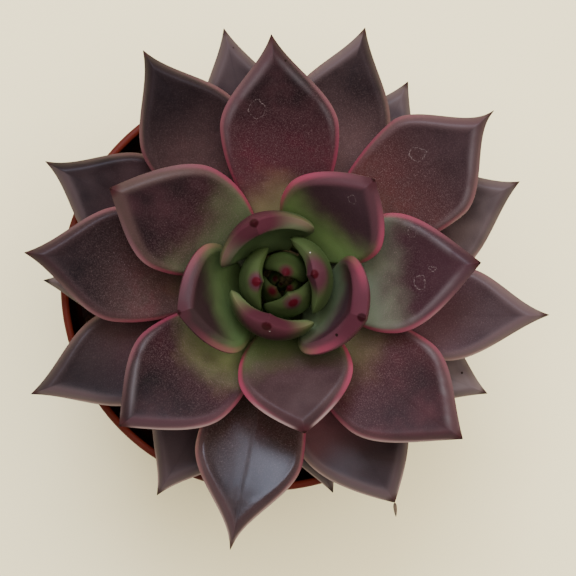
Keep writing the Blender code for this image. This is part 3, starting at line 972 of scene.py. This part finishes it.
        # Warmer and brighter towards the seat: partly real, partly painted light on the shaded bases.
        flush_glow = np.where(upper, ease(0.78, 0.3, along), 0.5)
        blush = ease(0.7, 0.35, along)
        # Where the midrib groove's painted shade may fall.
        groove = upper * ease(0.35, 0.6, along) * ease(0.98, 0.85, along)
        halo_radius = own(look.halo_radii)
        from_dot = self.from_dot(points, rim_place, upper)
        gloss = dict(look.glossy).get(self.number, 0.0)
        parts = {
            "zones": (green, rim, margin * own(look.margin_shares)),
            "kind": (self.number / YOUNGEST_LEAF, -gloss, along - own(look.margin_starts)),
            "tip": (from_dot, own(look.dot_radii), halo_radius),
            "sheen": (bloom_sheen, speckle * own(look.speckle_shares), flush_glow * own(look.flush_glow_shares)),
            "tone": (own(look.dark_shares), own(look.pale_shares), blush * own(look.blush_shares)),
            "edge": (upper * self.lit(points, along, edge), groove * own(look.groove_shares),
                     halo_radius * look.halo_core),
        }
        return {name: np.stack(np.broadcast_arrays(*values), axis=1) for name, values in parts.items()}


@dataclass
class Rosette:
    """The rosette: fleshy leaves in one spiral, each a closed skin that stands for its solid.

    Attributes:
        leaves: for each leaf from the lowest on, the azimuth of its tip, its length and greatest
            width, the share of the length where that is, and its tip's fullness.
        stations, around: faces along a leaf, and around it on both its sides.
        tip_crowding: how much closer the stations lie towards the tip.
        shape, look: what all leaves share.
        withered, pod_length, pod_width: the leaf with a withered tip, and that tip's size.
        skin, dried: the finish of the leaves and of the withered tip.
    """

    leaves: Sequence[tuple[float, float, float, float, float]] = (
        (283.5, 46.3, 18.0, 0.6, 0.45), (58.0, 51.3, 22.0, 0.6, 0.45), (179.5, 51.8, 18.0, 0.6, 0.45),
        (331.5, 50.2, 22.0, 0.6, 0.45), (103.0, 56.9, 22.0, 0.6, 0.4), (239.5, 53.5, 25.0, 0.6, 0.35),
        (23.0, 56.0, 26.0, 0.6, 0.35), (153.0, 58.0, 27.0, 0.6, 0.25), (297.0, 53.3, 28.0, 0.6, 0.85),
        (72.0, 58.2, 26.0, 0.6, 0.4), (204.0, 60.0, 24.0, 0.6, 0.4), (353.0, 58.5, 23.5, 0.6, 0.35),
        (121.0, 59.0, 26.5, 0.6, 0.3), (259.0, 59.7, 26.5, 0.6, 0.15), (39.0, 60.0, 28.5, 0.65, 0.05),
        (173.5, 57.3, 28.0, 0.6, 0.35), (319.0, 52.9, 29.0, 0.6, 0.6), (92.5, 55.7, 28.5, 0.6, 0.35),
        (221.5, 49.6, 28.0, 0.6, 0.7), (5.5, 46.3, 29.0, 0.54, 0.7), (151.5, 46.9, 28.0, 0.6, 0.75),
        (278.5, 38.3, 28.0, 0.6, 0.85), (48.0, 36.8, 27.5, 0.6, 0.8), (196.5, 31.6, 28.5, 0.6, 0.8),
        (336.0, 33.0, 28.0, 0.6, 0.8), (115.5, 31.0, 27.0, 0.6, 0.81), (251.0, 28.5, 25.0, 0.6, 0.81),
        (13.0, 26.5, 22.5, 0.6, 0.82), (180.5, 23.4, 18.0, 0.6, 0.82), (298.0, 21.2, 16.2, 0.6, 0.82),
        (68.0, 19.0, 13.5, 0.6, 0.83), (223.5, 15.3, 9.0, 0.6, 0.83), (319.5, 12.6, 7.0, 0.6, 0.84),
        (159.0, 9.6, 5.2, 0.6, 0.84), (241.0, 7.4, 2.9, 0.6, 0.85),
    )
    stations: int = 60
    around: int = 72
    tip_crowding: float = 1.35
    shape: LeafShape = field(default_factory=LeafShape)
    look: LeafLook = field(default_factory=LeafLook)
    withered: int = 8
    pod_length: float = 3.6
    pod_width: float = 0.95
    skin: LeafSkin = field(default_factory=LeafSkin)
    dried: WitheredTip = field(default_factory=WitheredTip)

    def roll(self, sheet: Piece, leaf: Leaf) -> Piece:
        """Roll a copy of the sheet into one leaf.

        Args:
            sheet: the flat sheet, two units a side.
            leaf: the leaf's sizes.

        Returns:
            The finished leaf, a closed skin.
        """
        piece = sheet.copy()
        piece.data = sheet.data.copy()
        bpy.context.collection.objects.link(piece)
        flat = vertex_places(piece)
        along = 1 - (1 - (flat[:, 0] + 1) / 2) ** self.tip_crowding
        lap = flat[:, 1] + 1
        upper = lap <= 1.0 + 1e-6
        across = np.sin(np.pi * (np.where(upper, lap, 2 - lap) - 0.5))
        upper = upper | (lap > 2 - 1e-6)
        points = leaf.points(along, across, upper)
        piece.data.vertices.foreach_set("co", (points * MM).ravel())
        for name, values in leaf.attributes(along, across, upper, points).items():
            attribute = piece.data.attributes.new(name, "FLOAT_VECTOR", "POINT")
            attribute.data.foreach_set("vector", values.astype(np.float32).ravel())
        close_up(piece)
        return name_piece(f"fleshy_leaf_{leaf.number + 1:02d}")

    def wither(self, leaf: Leaf) -> Piece:
        """Hang a shrivelled pod from a leaf's tip, with its thick end up.

        Args:
            leaf: the leaf.

        Returns:
            The pod.
        """
        tip_x, tip_y, tip_z = leaf.midrib_point(1.0, True)
        bpy.ops.mesh.primitive_uv_sphere_add(segments=12, ring_count=14, radius=1.0)
        piece = name_piece("withered_tip")
        for vertex in piece.data.vertices:
            x, y, z = vertex.co
            drop = self.pod_length * (1 - z) / 2
            breadth = self.pod_width / 2 * (0.9 + 0.4 * z)
            place = (tip_x + breadth * x + 0.1 * drop, tip_y - drop, tip_z + breadth * y - 0.3 * drop)
            vertex.co = Vector(place) * MM
        close_up(piece)
        return piece

    def build(self) -> None:
        """Roll and dress every leaf from one flat sheet."""
        material = self.skin.material()
        bpy.ops.mesh.primitive_grid_add(
            x_subdivisions=self.stations, y_subdivisions=self.around, size=2.0, calc_uvs=True)
        sheet = name_piece("leaf_blank")
        for number, sizes in enumerate(self.leaves):
            leaf = Leaf(number, *sizes, self.shape, self.look)
            dress(self.roll(sheet, leaf), material, Slot.LEAF, f"leaf_{number + 1:02d}")
            if number == self.withered:
                dress(self.wither(leaf), self.dried.material(), Slot.LEAF)
        bpy.data.objects.remove(sheet, do_unlink=True)


@dataclass
class Pot:
    """The thin moulded pot, turned in one profile, with its drain holes cut."""

    height: float = 80.0
    top_radius: float = 52.5
    base_radius: float = 37.0
    wall: float = 1.2
    shoulder_height: float = 64.0
    shoulder_radius: float = 48.2
    collar_step: float = 1.6
    lip_width: float = 2.0
    lip_depth: float = 1.5
    lip_crown: float = 0.7
    floor_thickness: float = 1.4
    channel: tuple[float, float] = (21.0, 31.0)
    channel_rise: float = 1.6
    drain_holes: int = 8
    drain_radius: float = 3.2
    segments: int = 144
    smooth_angle: float = 35.0
    finish: MouldedPolypropylene = field(default_factory=MouldedPolypropylene)

    def floor_profile(self, lift: float, inset: float) -> list[tuple[float, float]]:
        """The floor's section from its middle outwards, as (radius, height).

        Args:
            lift: how far it lies above the outside.
            inset: how far the raised ring spreads.

        Returns:
            The section's points.
        """
        inner, outer = self.channel[0] - inset, self.channel[1] + inset
        rise = self.channel_rise + lift
        return [(inner, lift), (inner + 1.0, rise), (outer - 1.0, rise), (outer, lift)]

    def profile(self) -> list[tuple[float, float]]:
        """The section from the floor inside over the lip to the underside, its corners eased.

        Returns:
            The section's points, as (radius, height).
        """
        shoulder, step = self.shoulder_radius, self.collar_step
        inner, lip_inner = shoulder - self.wall, self.top_radius - self.lip_width
        foot, ledge = self.base_radius - self.wall, self.height - self.lip_depth
        lip = []
        for angle in np.linspace(math.pi, 0.0, 9):
            lip.append((self.top_radius - self.lip_width / 2 * (1 - math.cos(angle)),
                        self.height - self.lip_crown * (1 - math.sin(angle))))
        return self.floor_profile(self.floor_thickness, 0.5) + [
            (foot - 0.4, self.floor_thickness),
            (foot + 0.4, self.floor_thickness + 0.8),
            (inner - 0.15, self.shoulder_height - 0.5),
            (inner + 0.2, self.shoulder_height + 0.2),
            (inner + step, self.shoulder_height + step),
            (lip_inner, self.height - 0.8),
            *lip,
            (self.top_radius, ledge),
            (self.top_radius - 0.3, ledge - 0.25),
            (lip_inner + self.wall + 0.1, ledge - 0.3),
            (lip_inner + self.wall, ledge - 0.6),
            (shoulder + step, self.shoulder_height + step * 0.6),
            (shoulder + step - 0.25, self.shoulder_height + 0.5),
            (shoulder + 0.1, self.shoulder_height - step * 0.4),
            (shoulder - 0.1, self.shoulder_height - step * 0.4 - 0.4),
            (self.base_radius, 1.0),
            (self.base_radius - 0.2, 0.3),
            (self.base_radius - 0.6, 0.0),
            *reversed(self.floor_profile(0.0, 0.0)),
        ]

    def drill(self, pot: Piece) -> None:
        """Cut the drain holes through the raised ring of the floor.

        Args:
            pot: the turned pot.
        """
        middle = sum(self.channel) / 2
        for hole in range(self.drain_holes):
            angle = math.tau * (hole + 0.5) / self.drain_holes
            place = Vector((middle * math.cos(angle), middle * math.sin(angle), self.channel_rise))
            bpy.ops.mesh.primitive_cylinder_add(
                vertices=32, radius=self.drain_radius * MM, depth=8 * MM, location=place * MM)
            drill = name_piece("drain_drill")
            only(pot)
            cut = pot.modifiers.new("drain hole", "BOOLEAN")
            cut.operation = "DIFFERENCE"
            cut.solver = "EXACT"
            cut.object = drill
            bpy.ops.object.modifier_apply(modifier=cut.name)
            bpy.data.objects.remove(drill, do_unlink=True)

    def mark_inside(self, pot: Piece) -> None:
        """Store on each point whether it lies on the inside wall, which takes painted shade, a little
        within its bounds.

        Args:
            pot: the drilled pot.
        """
        x, y, height = vertex_places(pot).T / MM
        radius = np.hypot(x, y)
        wall = np.interp(height, [0, self.shoulder_height, self.height - 1],
                         [self.base_radius, self.shoulder_radius, self.top_radius - self.lip_width + 0.45])
        channel = (radius > self.channel[0] - 1) & (radius < self.channel[1] + 1)
        floor = self.floor_thickness * 0.9 + np.where(channel, self.channel_rise, 0.0)
        inside = (radius < wall - self.wall * 0.5 + 0.35) & (height > floor) & (height < self.height - 0.55)
        attribute = pot.data.attributes.new("inside", "FLOAT", "POINT")
        attribute.data.foreach_set("value", inside.astype(np.float32))

    def build(self) -> None:
        """Make and dress the pot."""
        pot = draw_up("moulded_pot", self.profile(), self.segments)
        self.drill(pot)
        self.mark_inside(pot)
        only(pot)
        bpy.ops.object.shade_smooth_by_angle(angle=math.radians(self.smooth_angle))
        dress(pot, self.finish.material(), Slot.POT, "pot")


@dataclass
class PottingMix:
    """The potting mix: a plug with a lumpy top and loose crumbs that lie on it.

    Its base and its shoulder each have a radius and a height. The lumps' noise has a roughness, a
    fineness for each octave and a number of octaves. The crumbs fall between two shares of the
    top's area, and their centres lie a share of their radius above it.
    """

    level: float = 70.0
    swell: float = 1.2
    lump: float = 0.7
    lump_size: float = 5.0
    lump_noise: tuple[float, float, int] = (0.8, 2.0, 4)
    radius: float = 48.6
    base: tuple[float, float] = (35.9, 2.0)
    shoulder: tuple[float, float] = (46.7, 63.4)
    hole_radius: float = 8.5
    hole_depth: float = 8.0
    segments: int = 144
    surface_rings: int = 48
    crumbs: int = 420
    crumb_sizes: tuple[float, float] = (0.5, 1.3)
    crumb_shares: tuple[float, float] = (0.06, 0.93)
    crumb_stretch: tuple[float, float] = (0.6, 1.3)
    crumb_relief: float = 0.5
    crumb_grain: float = 1.7
    crumb_lift: float = 0.25
    stem_room: float = 2.0
    finish: DampPottingMix = field(default_factory=DampPottingMix)

    def surface(self, x: float, y: float) -> float:
        """Read the lumpy top.

        Args:
            x: how far right the place is.
            y: how far back it is.

        Returns:
            The height of the potting mix there.
        """
        share = min(1.0, math.hypot(x, y) / self.radius)
        rough = noise.fractal(Vector((x, y, 0.0)) / self.lump_size, *self.lump_noise)
        return self.level + self.swell * (1 - share) ** 2 + self.lump * rough * min(1.0, 8 * (1 - share))

    def plug(self) -> Piece:
        """Make the plug: a drum drawn in over its top to the stem, with its top made lumpy.

        Returns:
            The plug.
        """
        stations = [self.base, self.shoulder]
        for radius in np.linspace(self.radius, self.hole_radius, self.surface_rings + 1):
            stations.append((radius, self.level))
        stations.append((self.hole_radius, self.level - self.hole_depth))
        plug = draw_up("potting_mix_plug", stations, self.segments)
        for vertex in plug.data.vertices:
            x, y, z = vertex.co / MM
            if z > self.level - self.hole_depth - 1:
                share = (self.radius - math.hypot(x, y)) / (self.radius - self.hole_radius)
                x, y = x + STEM_PLACE[0] * max(0.0, share), y + STEM_PLACE[1] * max(0.0, share)
                height = self.surface(x, y) if z > self.level - 1 else z
                vertex.co = Vector((x, y, height)) * MM
        return plug

    def scatter(self) -> Piece:
        """Model one crumb and scatter copies of it over the top, joined into one piece.

        Returns:
            The crumbs.
        """
        bpy.ops.mesh.primitive_uv_sphere_add(segments=6, ring_count=5, radius=1.0)
        crumb = name_piece("crumb")
        shape = vertex_places(crumb)
        relief = [noise.noise(Vector(point) * self.crumb_grain) for point in shape]
        shape = shape * (1 + self.crumb_relief * np.array(relief)[:, None])
        faces = [tuple(polygon.vertices) for polygon in crumb.data.polygons]
        bpy.data.objects.remove(crumb, do_unlink=True)
        random = np.random.default_rng(7)
        points, corners = [], []
        for _count in range(self.crumbs):
            angle = random.uniform(0, math.tau)
            reach = self.radius * math.sqrt(random.uniform(*self.crumb_shares))
            x, y = reach * math.cos(angle), reach * math.sin(angle)
            if math.dist((x, y), STEM_PLACE) < self.hole_radius + self.stem_room:
                continue
            size = random.uniform(*self.crumb_sizes)
            stretch = random.uniform(*self.crumb_stretch, 3)
            turn = random.uniform(0, math.tau)
            first = len(points)
            corners.extend([first + corner for corner in face] for face in faces)
            spin = np.array(Matrix.Rotation(turn, 3, "Z"))
            centre = (x, y, self.surface(x, y) + size * self.crumb_lift)
            points.extend((shape * stretch @ spin.T * size + centre) * MM)
        mesh = bpy.data.meshes.new("soil_crumbs")
        mesh.from_pydata(points, [], corners)
        crumbs = bpy.data.objects.new("soil_crumbs", mesh)
        bpy.context.collection.objects.link(crumbs)
        only(crumbs)
        bpy.ops.object.shade_smooth()
        return crumbs

    def build(self) -> None:
        """Make and dress the potting mix."""
        material = self.finish.material()
        dress(self.plug(), material, Slot.SOIL, "soil")
        dress(self.scatter(), material, Slot.SOIL)


@dataclass(frozen=True)
class Lamp:
    """One soft square light, with its power in watts. A mirrored one shows in glossy surfaces."""

    name: str
    place: tuple[float, float, float]
    size: float
    power: float
    tone: str
    mirrored: bool

    def hang(self, target: Vector) -> None:
        """Hang the light and turn it to its target.

        Args:
            target: where it faces.
        """
        light = bpy.data.lights.new(self.name, "AREA")
        light.size = self.size * MM
        light.energy = self.power
        light.color = linear(self.tone)[:3]
        lamp = bpy.data.objects.new(self.name, light)
        lamp.location = Vector(self.place) * MM
        lamp.rotation_euler = (target - Vector(self.place)).to_track_quat("-Z", "Y").to_euler()
        lamp.visible_glossy = self.mirrored
        bpy.context.collection.objects.link(lamp)


@dataclass
class Studio:
    """The pale floor, the soft light and the camera straight above."""

    camera_place: tuple[float, float, float] = (5.58, -0.63, 530.0)
    focal_pixels: float = 1765.0
    frame_pixels: float = 576.0
    sensor_mm: float = 36.0
    floor_size: float = 3000.0
    floor_gap: float = 0.2
    sky: Stops = ((0.0, "#fbf8ee"), (0.45, "#fbf8ee"), (0.85, "#565860"), (1.0, "#565860"))
    sky_strength: float = 0.5
    plant_middle: tuple[float, float, float] = (0.0, 0.0, 100.0)
    lamps: Sequence[Lamp] = (
        Lamp("ceiling_bounce", (150.0, 320.0, 1300.0), 1300.0, 48.0, "#fff6e2", mirrored=False),
        Lamp("window_light", (-75.0, 600.0, 1150.0), 430.0, 9.0, "#d8e4ff", mirrored=True))
    floor: PaleFloor = field(default_factory=PaleFloor)

    def lay_floor(self) -> None:
        """Lay the floor that the pot stands on."""
        bpy.ops.mesh.primitive_plane_add(size=self.floor_size * MM, location=(0, 0, -self.floor_gap * MM))
        plane = name_piece("studio_floor")
        plane.data.materials.append(self.floor.material())

    def light_world(self) -> None:
        """Light from all round, brighter low down than overhead."""
        world = bpy.data.worlds.new("soft_room")
        bpy.context.scene.world = world
        world.use_nodes = True
        tree = world.node_tree
        background = tree.nodes["Background"]
        place = add_node(tree, "TexCoord").node.outputs["Generated"]
        height = add_node(tree, "SeparateXYZ", place).node.outputs["Z"]
        feed(background.inputs["Color"], add_node(tree, "ValToRGB", height, stops=self.sky))
        feed(background.inputs["Strength"], self.sky_strength)

    def set_camera(self) -> None:
        """Set the camera that the photograph was taken with, straight above and level."""
        camera = bpy.data.cameras.new("overhead_camera")
        camera.sensor_fit = "AUTO"
        camera.sensor_width = self.sensor_mm
        camera.lens = self.sensor_mm * self.focal_pixels / self.frame_pixels
        camera.clip_start, camera.clip_end = 0.01, 10.0
        stand = bpy.data.objects.new("overhead_camera", camera)
        stand.location = Vector(self.camera_place) * MM
        bpy.context.collection.objects.link(stand)
        bpy.context.scene.camera = stand

    def build(self) -> None:
        """Set up the whole studio."""
        self.lay_floor()
        self.light_world()
        for lamp in self.lamps:
            lamp.hang(Vector(self.plant_middle))
        self.set_camera()


def main() -> None:
    """Build every piece in order and dress it."""
    logging.basicConfig(level=logging.INFO, format="%(name)s: %(message)s")
    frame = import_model()
    Rosette().build()
    Pot().build()
    PottingMix().build()
    stem = frame["nodes"]["stem"]
    stem.data.materials.clear()
    stem.data.materials.append(StemSkin().material())
    Studio().build()


if __name__ == "__main__":
    main()
